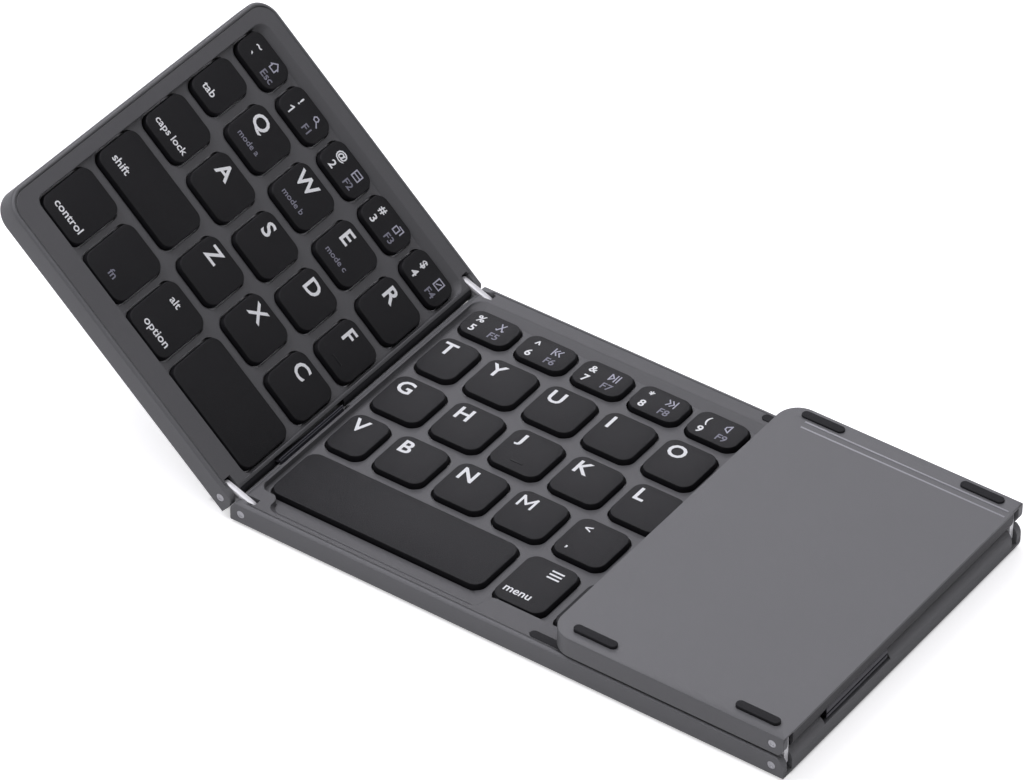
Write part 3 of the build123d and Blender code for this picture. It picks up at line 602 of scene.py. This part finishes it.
NUMBERS_LEFT = (("!", "1", "F1", LENS), ("@", "2", "F2", BOARD), ("#", "3", "F3", SHEETS), ("$", "4", "F4", PAGE))
NUMBERS = (("%", "5", "F5", SCISSORS), ("^", "6", "F6", BACK), ("&", "7", "F7", PLAY), ("*", "8", "F8", NEXT),
           ("(", "9", "F9", QUIET), (")", "0", "F10", SOFTER), ("_", "-", "F11", LOUDER), ("+", "=", "F12", PADLOCK))
LETTERS = {
    "left_letter_keys_upper": "QWER", "left_letter_keys_home": "ASDF", "left_letter_keys_lower": "ZXC",
    "letter_keys_upper": ("T", "Y", "U", "I", "O", "P", "{[", "}]", "|\\"),
    "letter_keys_home": ("G", "H", "J", "K", "L", ":;", "\"'"),
    "letter_keys_lower": ("V", "B", "N", "M", "<,", ">.", "?/"),
}
WORDS = {
    "tab_key": (("tab", 2.4, 2.7, 2.3),), "caps_key": (("caps lock", 1.8, 2.9, 2.1),),
    "left_shift_key": (("shift", 2.6, 3.4, 2.3),), "left_control_key": (("control", 2.4, 2.8, 2.3),),
    "left_alt_key": (("alt", 3.6, 12.3, 2.2), ("option", 3.4, 2.8, 2.3)),
    "menu_key": (("menu", 1.3, 2.9, 2.4),), "right_alt_key": (("alt", 2.6, 2.9, 2.3),),
    "right_shift_key": (("shift", 19.5, 3.4, 2.3),), "enter_key": (("enter", 15.5, 3.0, 2.3),),
    "backspace_key": (("back", 2.0, 2.6, 2.2),),
}
ARROWS = {
    "arrow_left_key": ((0.9, 0.0, 0.1, 0.5), (0.1, 0.5, 0.9, 1.0), (0.9, 1.0, 0.9, 0.0)),
    "arrow_right_key": ((0.1, 0.0, 0.9, 0.5), (0.9, 0.5, 0.1, 1.0), (0.1, 1.0, 0.1, 0.0)),
    "arrow_up_key": ((0.0, 0.1, 0.5, 0.9), (0.5, 0.9, 1.0, 0.1), (1.0, 0.1, 0.0, 0.1)),
    "arrow_down_key": ((0.0, 0.9, 0.5, 0.1), (0.5, 0.1, 1.0, 0.9), (1.0, 0.9, 0.0, 0.9)),
}


ONE = ((0.55, 0.0, 0.55, 1.0), (0.2, 0.75, 0.55, 1.0))
EM = ((0.0, 0.0, 0.0, 1.0), (0.0, 1.0, 0.5, 0.3), (0.5, 0.3, 1.0, 1.0), (1.0, 1.0, 1.0, 0.0))
SIDEWAYS = {"J": 1.1, "Q": -0.4, "W": -0.5, "A": 0.3, "S": 0.4, "<,": 0.4}


def number_legend(spec, x0, y1, left):
    """Shifted sign, number, function number and small sign of one number key."""
    shifted, number, function, sign = spec
    x = x0 + (3.8 if left else 3.2)
    bright = [word(shifted, x, y1 - 4.0, 2.3, "CENTER", 0.03)]
    if number == "1":
        bright += strokes(ONE, x - 1.2, y1 - 7.8, 2.2, 0.38)
    else:
        bright.append(word(number, x, y1 - 7.8, 2.4, "CENTER", 0.03))
    across = 8.3 if left else 7.7
    dim = [word(function, x0 + across, y1 - 7.7, 2.2)]
    return bright, dim, strokes(sign, x0 + across + 0.2, y1 - 4.3, 2.5, 0.32)


def on_line(label, y):
    """Squeezes a letter that reaches below its line so that it ends on it."""
    ys = [v.co.y for v in label.data.vertices]
    low, high = min(ys), max(ys)
    for vertex in label.data.vertices:
        vertex.co.y = y + (vertex.co.y - low) * (high - y) / (high - low)
    return label


def letter_legend(text, x0, y1, narrow, left):
    """A letter, or a shifted sign over a plain one."""
    x = x0 + (2.3 if left else 1.6) + SIDEWAYS.get(text, 0.0)
    if text == "M":
        return strokes(EM, x + 0.4, y1 - 5.6, 3.5, 0.62)
    if text == "J":
        return [on_line(word(text, x, y1 - 5.9, 4.4, heavy=0.028), y1 - 5.9)]
    if len(text) == 1:
        return [word(text, x, y1 - 5.9, 4.4, heavy=0.028)]
    return [word(text[0], x + 0.5, y1 - 4.6, 2.6), word(text[1], x + 0.5, y1 - 11.3, 2.6)]


def key_legends(node, tops):
    """Bright legends, dim legends and pale signs of one node."""
    bright, dim, signs = [], [], []
    left = node.startswith("left")
    for index, (x0, x1, y0, y1) in enumerate(tops):
        if node in ("left_number_keys", "number_keys"):
            a, b, c = number_legend((NUMBERS_LEFT if left else NUMBERS)[index], x0, y1, left)
            bright, dim, signs = bright + a, dim + b, signs + c
        elif node in LETTERS:
            bright += letter_legend(LETTERS[node][index], x0, y1, x1 - x0 < 12, left)
        elif node in ARROWS:
            size = 2.0
            bright += strokes(ARROWS[node], (x0 + x1 - size) / 2, (y0 + y1 - size) / 2, size, 0.3)
    x0, x1, y0, y1 = tops[0]
    for text, across, up, high in WORDS.get(node, ()):
        bright.append(word(text, x0 + across, y0 + up, high))
    if node == "fn_key":
        dim.append(word("fn", (x0 + x1) / 2 + 0.4, y0 + 2.9, 2.2, "CENTER"))
    if node == "menu_key":
        bright += strokes(LIST, x0 + 7.3, y1 - 5.2, 2.9, 0.5)
    if node == "left_letter_keys_upper":
        for number, (x0, x1, y0, y1) in enumerate(tops[:3]):
            dim.append(word("mode " + "abc"[number], x0 + 2.4, y0 + 2.7, 1.75))
    if node == "esc_key":
        a, b, signs = number_legend(("~", "`", "Esc", HOUSE), x0, y1, True)
        bright, dim = bright + a, dim + b
    return bright, dim, signs


def make_legends(places, matrix):
    """Legends of one panel, each riding on its key."""
    for node, tops in places.items():
        for kind, parts in zip(("legend", "dim_legend", "sign"), key_legends(node, tops)):
            if not parts:
                continue
            piece = joined(parts, f"{kind}_{node}")
            piece.data.transform(matrix)
            dress(piece, kind)
            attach(piece, node)


# ---- hinge pins and rubber pads ------------------------------------------------------------
PIN_R, PIN_LEN = 1.05, 5.5
FOOT_LONG, FOOT_WIDE = 11.4, 2.3


def pin_shape():
    """Pin along Z, its turned head with a dimple on z = 0 and its body below."""
    drop_selection()
    bpy.ops.mesh.primitive_cylinder_add(vertices=40, radius=PIN_R, depth=PIN_LEN,
                                        location=(0, 0, -PIN_LEN / 2))
    pin = bpy.context.object
    settle(pin)
    pick(pin, "FACE", lambda centre, normal: normal.z > 0.9)
    bpy.ops.mesh.region_to_loop()
    bpy.ops.mesh.bevel(offset=0.16, segments=3, affect="EDGES")
    bpy.ops.object.mode_set(mode="OBJECT")
    pick(pin, "FACE", lambda centre, normal: normal.z > 0.99)
    bpy.ops.mesh.inset(thickness=0.34)
    bpy.ops.mesh.inset(thickness=0.12)
    bpy.ops.transform.translate(value=(0, 0, -0.14))
    bpy.ops.object.mode_set(mode="OBJECT")
    smoothed(pin, 35)
    return pin


def make_pins():
    """Hinge pins with their heads flush in the front and back faces."""
    model = pin_shape()
    sets = {"middle": ("left_link_fold", "right_link_fold"), "left": ("left_panel_fold",),
            "right": ("right_panel_fold",)}
    for side, joints in sets.items():
        pins = []
        for joint in joints:
            for y, degrees in ((CASE_LOW.y, 90), (CASE_LOW.y + DEPTH * MM, -90)):
                pin = copy_of(model, "pin")
                place = Matrix.Translation((JOINT[joint].x, y, JOINT[joint].z))
                pin.data.transform(place @ Matrix.Scale(MM, 4)
                                   @ Matrix.Rotation(math.radians(degrees), 4, "X"))
                pins.append(pin)
        stand_in(joined(pins, f"{side}_pins_turned"), f"{side}_hinge_pins", "pin")
    bpy.data.objects.remove(model)


def rib_shape(top):
    """Raised top of a hinge link: along X from one pin on the origin to the other."""
    drop_selection()
    bpy.ops.mesh.primitive_cube_add(
        size=1, location=(PITCH / 2, 0, (RIB_LOW + top) / 2),
        scale=(PITCH + 2 * LINK_R, LINK_T, top - RIB_LOW))
    rib = bpy.context.object
    settle(rib)
    pick(rib, "EDGE", lambda centre, run: abs(run.y) > LINK_T * 0.9 and centre.z > RIB_LOW + 0.1)
    bpy.ops.mesh.bevel(offset=top - RIB_LOW - 0.05, segments=8, profile=0.5, affect="EDGES")
    bpy.ops.object.mode_set(mode="OBJECT")
    pick(rib, "FACE", lambda centre, normal: abs(normal.y) > 0.9)
    bpy.ops.mesh.region_to_loop()
    bpy.ops.mesh.bevel(offset=0.12, segments=2, affect="EDGES")
    bpy.ops.object.mode_set(mode="OBJECT")
    smoothed(rib, 40)
    return rib


def make_ribs():
    """Ribs on the links, almost flush with the panels' tops."""
    half = LEFT_FOLD / 2
    turns = {"left": Matrix.Rotation(math.pi, 4, "Z"), "right": Matrix.Rotation(-math.pi / 2, 4, "Y")}
    turns["left"] = Matrix.Rotation(half, 4, "Y") @ turns["left"]
    for side, turn in turns.items():
        model = rib_shape(RIB_TOPS[side])
        pin = JOINT[f"{side}_link_fold"]
        ribs = []
        for y in (SLOT_FRONT + SLOT_W / 2, DEPTH - SLOT_FRONT - SLOT_W / 2):
            rib = copy_of(model, "rib")
            place = Matrix.Translation((pin.x, CASE_LOW.y + y * MM, pin.z))
            rib.data.transform(place @ turn @ Matrix.Scale(MM, 4))
            ribs.append(rib)
        piece = joined(ribs, f"{side}_link_ribs")
        dress(piece, "link")
        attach(piece, f"{side}_link")
        bpy.data.objects.remove(model)


PITCH, LINK_R, LINK_T = 6.2, 2.0, 1.5
RIB_LOW = 1.2
RIB_TOPS = {"left": 2.65, "right": 2.65}


def stand_in(piece, node, slot):
    """Puts a piece in a CAD node's place."""
    dress(piece, slot)
    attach(piece, frame["nodes"][node]["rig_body"])
    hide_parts(node)


def pad_shape(high):
    """Rubber pad about the origin with round ends and a soft edge, its top on z = 0."""
    drop_selection()
    bpy.ops.mesh.primitive_cube_add(size=1, location=(0, 0, -high / 2),
                                    scale=(FOOT_LONG, FOOT_WIDE, high))
    pad = bpy.context.object
    settle(pad)
    pick(pad, "EDGE", lambda centre, run: abs(run.z) > high * 0.9)
    bpy.ops.mesh.bevel(offset=FOOT_WIDE / 2 - 0.02, segments=8, affect="EDGES")
    bpy.ops.object.mode_set(mode="OBJECT")
    pick(pad, "FACE", lambda centre, normal: normal.z > 0.9)
    bpy.ops.mesh.region_to_loop()
    bpy.ops.mesh.bevel(offset=0.18, segments=3, affect="EDGES")
    bpy.ops.object.mode_set(mode="OBJECT")
    smoothed(pad, 40)
    return pad


def pad_set(name, node, places, matrix):
    """Rubber pads of one panel; each place is a centre, the top's height and the pad's height."""
    pads = []
    for x, y, top, high in places:
        pad = pad_shape(high)
        turn = Matrix.Rotation(math.pi, 4, "X") if top < 0 else Matrix.Identity(4)
        pad.data.transform(matrix @ Matrix.Translation((x, y, top)) @ turn)
        pads.append(pad)
    stand_in(joined(pads, name), node, "rubber")


def make_pads():
    """Feet of the three panels and the bumpers on the middle one."""
    xs = {"middle": (9.1, MIDDLE_LEN - 9.1), "left": (10.6, LEFT_LEN - 9.1),
          "right": (9.1, RIGHT_LEN - 10.6)}
    matrices = {"middle": middle_place(), "left": left_place(), "right": right_place()}
    for side, matrix in matrices.items():
        front = 0.65 if side == "middle" else 0.95
        rows = ((3.8, front), (DEPTH - 2.8, 0.65))
        places = [(x, y, -0.5, high) for x in xs[side] for y, high in rows]
        pad_set(f"{side}_feet_soft", f"{side}_feet", places, matrix)
    split = (LEFT_LEN + MIDDLE_LEN - RIGHT_LEN) / 2
    places = [(split, y, THICK + 0.15, 0.55) for y in (2.6, DEPTH - 2.4)]
    pad_set("bumpers_soft", "middle_bumpers", places, middle_place())


def edge_line(x0, x1, y, z):
    """A thin rounded edge along X on an underside; its lighter finish is a painted highlight."""
    drop_selection()
    bpy.ops.mesh.primitive_cube_add(size=1, location=((x0 + x1) / 2, y, z),
                                    scale=(x1 - x0, 0.5, 0.14))
    line = bpy.context.object
    settle(line)
    pick(line, "FACE", lambda centre, normal: normal.z < -0.9)
    bpy.ops.mesh.region_to_loop()
    bpy.ops.mesh.bevel(offset=0.05, segments=3, affect="EDGES")
    bpy.ops.object.mode_set(mode="OBJECT")
    smoothed(line, 60)
    return line


def ribbon_bend(face, out):
    """Ribbon cable from a notch's sill up past the panel's end face; out is 1 towards +X."""
    drop_selection()
    bpy.ops.mesh.primitive_cube_add(
        size=1, location=(face - out * 1.0, NOTCH_FRONT + NOTCH_W / 2, NOTCH_SILL + 0.2),
        scale=(0.16, NOTCH_W - 2.0, 0.3))
    bend = bpy.context.object
    settle(bend)
    for across, up in ((0.38, 0.35), (0.16, 0.45), (0.03, 0.75)):
        top = max(v.co.z for v in bend.data.vertices) - 0.01
        pick(bend, "FACE", lambda centre, normal: centre.z > top)
        bpy.ops.mesh.extrude_region_move(TRANSFORM_OT_translate={"value": (out * across, 0, up)})
        bpy.ops.object.mode_set(mode="OBJECT")
    smoothed(bend, 60)
    return bend


def make_ribbon_bends():
    """The ribbon cables in the notches at the folds."""
    ends = {"middle": ((0.0, -1), (MIDDLE_LEN, 1)), "left": ((LEFT_LEN, 1),), "right": ((0.0, -1),)}
    matrices = {"middle": middle_place(), "left": left_place(), "right": right_place()}
    for side, places in ends.items():
        piece = joined([ribbon_bend(face, out) for face, out in places], f"{side}_ribbon_bends")
        piece.data.transform(matrices[side])
        dress(piece, "ribbon")
        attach(piece, f"{side}_panel")


NOTCH_FRONT, NOTCH_W, NOTCH_SILL = 17.0, 26.5, 3.9


def make_scoop_slope():
    """Gentle slope from the front rim down to the deck along the thumb scoop."""
    drop_selection()
    low, high = THICK - DECK_DROP, THICK - 0.01
    bpy.ops.mesh.primitive_cube_add(
        size=1, location=((SCOOP_START + SCOOP_END) / 2, SCOOP_RIM + 1.75, (low + high) / 2),
        scale=(SCOOP_END - SCOOP_START + 0.1, 4.0, high - low))
    slope = bpy.context.object
    settle(slope)
    pick(slope, "EDGE", lambda centre, run: abs(run.z) > 1 and centre.y < SCOOP_RIM)
    bpy.ops.mesh.bevel(offset=2.5, segments=8, profile=0.5, affect="EDGES")
    bpy.ops.object.mode_set(mode="OBJECT")
    pick(slope, "FACE", lambda centre, normal: abs(normal.z) > 0.9 or normal.y > 0.9 or abs(normal.x) > 0.999)
    bpy.ops.mesh.delete(type="FACE")
    bpy.ops.object.mode_set(mode="OBJECT")
    pick(slope, "EDGE", lambda centre, run: centre.z < low + 0.1)
    bpy.ops.transform.translate(value=(0, SLOPE_RUN, 0))
    bpy.ops.mesh.select_all(action="SELECT")
    bpy.ops.mesh.extrude_region_move(TRANSFORM_OT_translate={"value": (0, -0.3, -0.35)})
    bpy.ops.mesh.select_all(action="SELECT")
    bpy.ops.mesh.normals_make_consistent(inside=False)
    bpy.ops.object.mode_set(mode="OBJECT")
    smoothed(slope, 35)
    slope.name = "scoop_slope"
    slope.data.transform(middle_place())
    dress(slope, "frame")
    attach(slope, "middle_panel")


DECK_DROP, SLOPE_RUN = 1.5, 1.9
SCOOP_START, SCOOP_END, SCOOP_RIM = 8.6, 67.0, 2.4


def make_strip_edge_highlights():
    """Painted highlights: two thin lighter lines along the edges of the slope beside the thick strip, under each
    side panel.
    """
    y = DEPTH - UNDER_STRIP
    spans = {"left": (7.0, LEFT_LEN - 0.8), "right": (0.8, RIGHT_LEN - 7.0)}
    matrices = {"left": left_place(), "right": right_place()}
    for side, (x0, x1) in spans.items():
        lines = [edge_line(x0, x1, y - 0.2, 0.04), edge_line(x0, x1, y - UNDER_SLOPE, 0.33)]
        piece = joined(lines, f"{side}_strip_edges")
        piece.data.transform(matrices[side])
        # the lighter finish is a painted highlight on both edges of the slope
        dress(piece, "painted_highlight_edge")
        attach(piece, f"{side}_panel")


UNDER_STRIP, UNDER_SLOPE = 4.7, 2.0


# ---- light, floor and camera ---------------------------------------------------------------
def white_ground():
    """Pale floor that keeps the keyboard's shadow, and a white sky behind it."""
    drop_selection()
    bpy.ops.mesh.primitive_plane_add(size=6.0, location=(0, 0, 0))
    floor = bpy.context.object
    floor.name = "floor"
    material = bpy.data.materials.new("pale_floor")
    material.use_nodes = True
    nodes, links = material.node_tree.nodes, material.node_tree.links
    shader = nodes["Principled BSDF"]
    shader.inputs["Base Color"].default_value = (0.9, 0.9, 0.9, 1)
    shader.inputs["Roughness"].default_value = 0.9
    shader.inputs["Specular IOR Level"].default_value = 0.0
    path = nodes.new("ShaderNodeLightPath")
    glow = nodes.new("ShaderNodeEmission")
    where = nodes.new("ShaderNodeTexCoord")
    axes = nodes.new("ShaderNodeSeparateXYZ")
    links.new(where.outputs["Object"], axes.inputs["Vector"])
    beside = []
    for axis, middle, half in (("X", 0.029, 0.078), ("Y", 0.001, 0.045)):
        off = maths(nodes, links, "ABSOLUTE", maths(nodes, links, "SUBTRACT", axes.outputs[axis], middle), 0.0)
        beside.append(span_node(nodes, links, off, half, half + 0.002))
    outside = maths(nodes, links, "MAXIMUM", *beside)
    lift = maths(nodes, links, "MULTIPLY", maths(nodes, links, "MULTIPLY", path.outputs["Is Camera Ray"],
                                                 outside), FLOOR_GLOW)
    links.new(lift, glow.inputs["Strength"])
    both = nodes.new("ShaderNodeAddShader")
    links.new(shader.outputs[0], both.inputs[0])
    links.new(glow.outputs[0], both.inputs[1])
    links.new(both.outputs[0], nodes["Material Output"].inputs["Surface"])
    floor.data.materials.append(material)


FLOOR_GLOW = 0.55


def sky():
    """Dim surroundings that the camera sees as white."""
    world = bpy.data.worlds.new("studio")
    bpy.context.scene.world = world
    world.use_nodes = True
    nodes, links = world.node_tree.nodes, world.node_tree.links
    shell = nodes["Background"]
    shell.inputs["Color"].default_value = (1, 1, 1, 1)
    path = nodes.new("ShaderNodeLightPath")
    strength = nodes.new("ShaderNodeMath")
    strength.operation = "MAXIMUM"
    strength.inputs[1].default_value = 0.2
    links.new(path.outputs["Is Camera Ray"], strength.inputs[0])
    links.new(strength.outputs[0], shell.inputs["Strength"])


def softbox(name, place, target, size, power):
    """Rectangular soft light that faces a point."""
    light = bpy.data.lights.new(name, "AREA")
    light.shape = "RECTANGLE"
    light.size, light.size_y = size
    light.energy = power
    light.color = (1.0, 0.985, 1.06)
    lamp = bpy.data.objects.new(name, light)
    bpy.context.scene.collection.objects.link(lamp)
    lamp.location = place
    lamp.rotation_mode = "QUATERNION"
    lamp.rotation_quaternion = (Vector(target) - Vector(place)).to_track_quat("-Z", "Y")
    return lamp


def lights():
    """A broad top light, sheens from three sides and a weak fill."""
    softbox("top_light", (0.1, 0.2, 1.5), (0, 0, 0), (1.3, 1.3), 8.0)
    softbox("back_left_light", (-0.95, 1.25, 1.05), (0, 0, 0), (0.9, 0.9), 7.5)
    softbox("front_left_light", (-0.70, -0.45, 1.33), (0, 0, 0), (0.6, 0.6), 9.0)
    softbox("back_right_light", (1.0, 1.08, 0.85), (0, 0, 0), (0.6, 0.6), 1.4)
    softbox("right_fill", (1.15, -0.95, 0.9), (0, 0, 0.02), (0.8, 0.8), 0.9)


def camera():
    """Camera at the keyboard's right front corner, looking down on it."""
    azimuth, elevation, roll, distance = 0.61237, 0.68215, 0.0063964, 1503.56
    back = Vector((math.sin(azimuth) * math.cos(elevation), -math.cos(azimuth) * math.cos(elevation),
                   math.sin(elevation)))
    right = (-back).cross(Vector((0, 0, 1))).normalized()
    up = right.cross(-back).normalized()
    side = right * math.cos(roll) + up * math.sin(roll)
    over = -right * math.sin(roll) + up * math.cos(roll)
    eye = CASE_LOW + (Vector((24.97, 75.57, 0)) + back * distance) * MM
    data = bpy.data.cameras.new("camera")
    data.sensor_width = 36.0
    data.lens = 6448.18 / 1024 * 36.0
    data.clip_start, data.clip_end = 0.05, 20.0
    eyepiece = bpy.data.objects.new("camera", data)
    bpy.context.scene.collection.objects.link(eyepiece)
    place = Matrix.Identity(4)
    for column, axis in enumerate((side, over, back)):
        for line in range(3):
            place[line][column] = axis[line]
    for line in range(3):
        place[line][3] = eye[line]
    eyepiece.matrix_world = place
    bpy.context.scene.camera = eyepiece


# ---- the scene -----------------------------------------------------------------------------
SMOOTH = ("middle_bottom_case", "left_bottom_case", "right_bottom_case", "middle_top_frame",
          "left_top_frame", "right_top_frame", "left_end_cap", "right_end_cap",
          "left_hinge_links", "right_hinge_links", "touchpad")


def make_all():
    """Everything, in order."""
    dress_frame()
    slots = {e["node"]: e["material_slot"] for e in frame["record"]["subparts"]}
    for node in SMOOTH:
        twin = smooth_twin(node, slots[node])
        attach(twin, frame["nodes"][node]["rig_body"])
        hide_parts(node)
    middle, left = key_places(MIDDLE_ROWS, MIDDLE_SPAN), key_places(LEFT_ROWS, LEFT_SPAN)
    make_caps(middle, middle_place(), {"letter_keys_home": 2})
    make_caps(left, left_place(), {"left_letter_keys_home": 3})
    for cap in CAPS.values():
        bpy.data.objects.remove(cap)
    make_legends(middle, middle_place())
    make_legends(left, left_place())
    make_pins()
    make_ribs()
    make_pads()
    make_strip_edge_highlights()
    make_ribbon_bends()
    make_scoop_slope()
    white_ground()
    sky()
    lights()
    camera()
    bpy.context.scene.view_settings.view_transform = "Standard"


make_all()
drop_selection()
